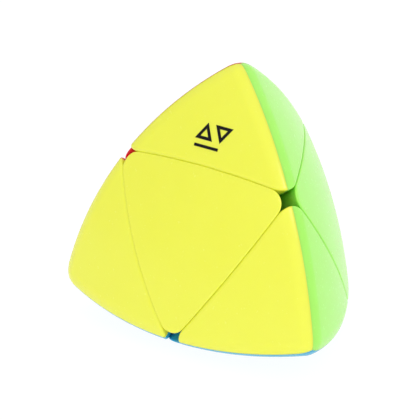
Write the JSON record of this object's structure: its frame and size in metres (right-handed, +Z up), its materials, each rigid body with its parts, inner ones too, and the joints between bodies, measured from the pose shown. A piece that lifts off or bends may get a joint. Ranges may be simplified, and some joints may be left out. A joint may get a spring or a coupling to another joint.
{
  "type": "pyramid twisty puzzle",
  "caption": "Free-standing hand puzzle: a domed tetrahedron of glossy coloured pieces that turn in halves about crossed axes on a sprung core.",
  "frame": {"origin": "centre of the core, where the turning axes cross", "axes": "+Z up through the top corner, standing on the blue face; -Y towards the yellow face; +X to the right of someone who looks at the yellow face"},
  "size_m": [0.0746, 0.0713, 0.069],
  "materials": {
    "yellow_abs": "gloss",
    "green_abs": "gloss",
    "red_abs": "gloss",
    "blue_abs": "gloss",
    "mechanism_plastic": "satin",
    "core_plastic": "satin",
    "screw_steel": "satin",
    "spring_steel": "polished",
    "washer_steel": "satin"
  },
  "bodies": {
    "core": {"core_spider": "core_plastic", "tension_screws": "screw_steel", "tension_springs": "spring_steel", "spring_washers": "washer_steel"},
    "hub_yellow_red": {"hub_yellow_red": "mechanism_plastic"},
    "hub_green_blue": {"hub_green_blue": "mechanism_plastic"},
    "hub_yellow_green": {"hub_yellow_green": "mechanism_plastic"},
    "hub_red_blue": {"hub_red_blue": "mechanism_plastic"},
    "hub_green_red": {"hub_green_red": "mechanism_plastic"},
    "hub_yellow_blue": {"hub_yellow_blue": "mechanism_plastic"},
    "inner_edge_yellow_top": {"inner_edge_yellow_top": "mechanism_plastic"},
    "inner_edge_green_right": {"inner_edge_green_right": "mechanism_plastic"},
    "inner_edge_blue_back": {"inner_edge_blue_back": "mechanism_plastic"},
    "inner_edge_red_left": {"inner_edge_red_left": "mechanism_plastic"},
    "inner_edge_green_top": {"inner_edge_green_top": "mechanism_plastic"},
    "inner_edge_red_back": {"inner_edge_red_back": "mechanism_plastic"},
    "inner_edge_blue_left": {"inner_edge_blue_left": "mechanism_plastic"},
    "inner_edge_yellow_right": {"inner_edge_yellow_right": "mechanism_plastic"},
    "inner_edge_red_top": {"inner_edge_red_top": "mechanism_plastic"},
    "inner_edge_yellow_left": {"inner_edge_yellow_left": "mechanism_plastic"},
    "inner_edge_blue_right": {"inner_edge_blue_right": "mechanism_plastic"},
    "inner_edge_green_back": {"inner_edge_green_back": "mechanism_plastic"},
    "corner_top": {"corner_top_yellow_shell": "yellow_abs", "corner_top_green_shell": "green_abs", "corner_top_red_shell": "red_abs", "corner_top_foot": "mechanism_plastic"},
    "corner_left": {"corner_left_red_shell": "red_abs", "corner_left_blue_shell": "blue_abs", "corner_left_yellow_shell": "yellow_abs", "corner_left_foot": "mechanism_plastic"},
    "corner_right": {"corner_right_green_shell": "green_abs", "corner_right_yellow_shell": "yellow_abs", "corner_right_blue_shell": "blue_abs", "corner_right_foot": "mechanism_plastic"},
    "corner_back": {"corner_back_blue_shell": "blue_abs", "corner_back_red_shell": "red_abs", "corner_back_green_shell": "green_abs", "corner_back_foot": "mechanism_plastic"},
    "face_yellow": {"face_yellow_shell": "yellow_abs", "face_yellow_foot": "mechanism_plastic"},
    "face_green": {"face_green_shell": "green_abs", "face_green_foot": "mechanism_plastic"},
    "face_red": {"face_red_shell": "red_abs", "face_red_foot": "mechanism_plastic"},
    "face_blue": {"face_blue_shell": "blue_abs", "face_blue_foot": "mechanism_plastic"}
  },
  "joints": [
    {"name": "turn_yellow_red_half", "type": "hinge", "parent": "core", "child": "hub_yellow_red", "pos_m": [0, 0, 0], "axis": [-0.7071, -0.4082, 0.5774], "continuous": true},
    {"name": "turn_green_blue_half", "type": "hinge", "parent": "core", "child": "hub_green_blue", "pos_m": [0, 0, 0], "axis": [-0.7071, -0.4082, 0.5774], "continuous": true},
    {"name": "turn_yellow_green_half", "type": "hinge", "parent": "core", "child": "hub_yellow_green", "pos_m": [0, 0, 0], "axis": [0.7071, -0.4082, 0.5774], "continuous": true},
    {"name": "turn_red_blue_half", "type": "hinge", "parent": "core", "child": "hub_red_blue", "pos_m": [0, 0, 0], "axis": [0.7071, -0.4082, 0.5774], "continuous": true},
    {"name": "turn_green_red_half", "type": "hinge", "parent": "core", "child": "hub_green_red", "pos_m": [0, 0, 0], "axis": [0, 0.8165, 0.5774], "continuous": true},
    {"name": "turn_yellow_blue_half", "type": "hinge", "parent": "core", "child": "hub_yellow_blue", "pos_m": [0, 0, 0], "axis": [0, 0.8165, 0.5774], "continuous": true},
    {"name": "inner_edge_yellow_top_turn", "type": "hinge", "parent": "hub_yellow_red", "child": "inner_edge_yellow_top", "pos_m": [0, 0, 0], "axis": [0.7071, -0.4082, 0.5774], "continuous": true},
    {"name": "inner_edge_green_right_turn", "type": "hinge", "parent": "hub_green_blue", "child": "inner_edge_green_right", "pos_m": [0, 0, 0], "axis": [0.7071, -0.4082, 0.5774], "continuous": true},
    {"name": "inner_edge_blue_back_turn", "type": "hinge", "parent": "hub_green_blue", "child": "inner_edge_blue_back", "pos_m": [0, 0, 0], "axis": [0.7071, -0.4082, 0.5774], "continuous": true},
    {"name": "inner_edge_red_left_turn", "type": "hinge", "parent": "hub_yellow_red", "child": "inner_edge_red_left", "pos_m": [0, 0, 0], "axis": [0.7071, -0.4082, 0.5774], "continuous": true},
    {"name": "inner_edge_green_top_turn", "type": "hinge", "parent": "hub_yellow_green", "child": "inner_edge_green_top", "pos_m": [0, 0, 0], "axis": [0, 0.8165, 0.5774], "continuous": true},
    {"name": "inner_edge_red_back_turn", "type": "hinge", "parent": "hub_red_blue", "child": "inner_edge_red_back", "pos_m": [0, 0, 0], "axis": [0, 0.8165, 0.5774], "continuous": true},
    {"name": "inner_edge_blue_left_turn", "type": "hinge", "parent": "hub_red_blue", "child": "inner_edge_blue_left", "pos_m": [0, 0, 0], "axis": [0, 0.8165, 0.5774], "continuous": true},
    {"name": "inner_edge_yellow_right_turn", "type": "hinge", "parent": "hub_yellow_green", "child": "inner_edge_yellow_right", "pos_m": [0, 0, 0], "axis": [0, 0.8165, 0.5774], "continuous": true},
    {"name": "inner_edge_red_top_turn", "type": "hinge", "parent": "hub_green_red", "child": "inner_edge_red_top", "pos_m": [0, 0, 0], "axis": [-0.7071, -0.4082, 0.5774], "continuous": true},
    {"name": "inner_edge_yellow_left_turn", "type": "hinge", "parent": "hub_yellow_blue", "child": "inner_edge_yellow_left", "pos_m": [0, 0, 0], "axis": [-0.7071, -0.4082, 0.5774], "continuous": true},
    {"name": "inner_edge_blue_right_turn", "type": "hinge", "parent": "hub_yellow_blue", "child": "inner_edge_blue_right", "pos_m": [0, 0, 0], "axis": [-0.7071, -0.4082, 0.5774], "continuous": true},
    {"name": "inner_edge_green_back_turn", "type": "hinge", "parent": "hub_green_red", "child": "inner_edge_green_back", "pos_m": [0, 0, 0], "axis": [-0.7071, -0.4082, 0.5774], "continuous": true},
    {"name": "corner_top_turn", "type": "hinge", "parent": "inner_edge_yellow_top", "child": "corner_top", "pos_m": [0, 0, 0], "axis": [0, 0.8165, 0.5774], "continuous": true},
    {"name": "corner_left_turn", "type": "hinge", "parent": "inner_edge_red_left", "child": "corner_left", "pos_m": [0, 0, 0], "axis": [0, 0.8165, 0.5774], "continuous": true},
    {"name": "corner_right_turn", "type": "hinge", "parent": "inner_edge_green_right", "child": "corner_right", "pos_m": [0, 0, 0], "axis": [0, 0.8165, 0.5774], "continuous": true},
    {"name": "corner_back_turn", "type": "hinge", "parent": "inner_edge_blue_back", "child": "corner_back", "pos_m": [0, 0, 0], "axis": [0, 0.8165, 0.5774], "continuous": true},
    {"name": "face_yellow_turn", "type": "hinge", "parent": "inner_edge_yellow_top", "child": "face_yellow", "pos_m": [0, 0, 0], "axis": [0, 0.8165, 0.5774], "continuous": true},
    {"name": "face_green_turn", "type": "hinge", "parent": "inner_edge_green_right", "child": "face_green", "pos_m": [0, 0, 0], "axis": [0, 0.8165, 0.5774], "continuous": true},
    {"name": "face_red_turn", "type": "hinge", "parent": "inner_edge_red_left", "child": "face_red", "pos_m": [0, 0, 0], "axis": [0, 0.8165, 0.5774], "continuous": true},
    {"name": "face_blue_turn", "type": "hinge", "parent": "inner_edge_blue_back", "child": "face_blue", "pos_m": [0, 0, 0], "axis": [0, 0.8165, 0.5774], "continuous": true}
  ],
  "couplings": [
    {"joint": "inner_edge_yellow_top_turn", "follows": "turn_yellow_green_half", "ratio": 1},
    {"joint": "inner_edge_green_right_turn", "follows": "turn_yellow_green_half", "ratio": 1},
    {"joint": "inner_edge_blue_back_turn", "follows": "turn_red_blue_half", "ratio": 1},
    {"joint": "inner_edge_red_left_turn", "follows": "turn_red_blue_half", "ratio": 1},
    {"joint": "inner_edge_green_top_turn", "follows": "turn_green_red_half", "ratio": 1},
    {"joint": "inner_edge_red_back_turn", "follows": "turn_green_red_half", "ratio": 1},
    {"joint": "inner_edge_blue_left_turn", "follows": "turn_yellow_blue_half", "ratio": 1},
    {"joint": "inner_edge_yellow_right_turn", "follows": "turn_yellow_blue_half", "ratio": 1},
    {"joint": "inner_edge_red_top_turn", "follows": "turn_yellow_red_half", "ratio": 1},
    {"joint": "inner_edge_yellow_left_turn", "follows": "turn_yellow_red_half", "ratio": 1},
    {"joint": "inner_edge_blue_right_turn", "follows": "turn_green_blue_half", "ratio": 1},
    {"joint": "inner_edge_green_back_turn", "follows": "turn_green_blue_half", "ratio": 1},
    {"joint": "corner_top_turn", "follows": "turn_green_red_half", "ratio": 1},
    {"joint": "corner_left_turn", "follows": "turn_yellow_blue_half", "ratio": 1},
    {"joint": "corner_right_turn", "follows": "turn_yellow_blue_half", "ratio": 1},
    {"joint": "corner_back_turn", "follows": "turn_green_red_half", "ratio": 1},
    {"joint": "face_yellow_turn", "follows": "turn_yellow_blue_half", "ratio": 1},
    {"joint": "face_green_turn", "follows": "turn_green_red_half", "ratio": 1},
    {"joint": "face_red_turn", "follows": "turn_green_red_half", "ratio": 1},
    {"joint": "face_blue_turn", "follows": "turn_yellow_blue_half", "ratio": 1}
  ]
}
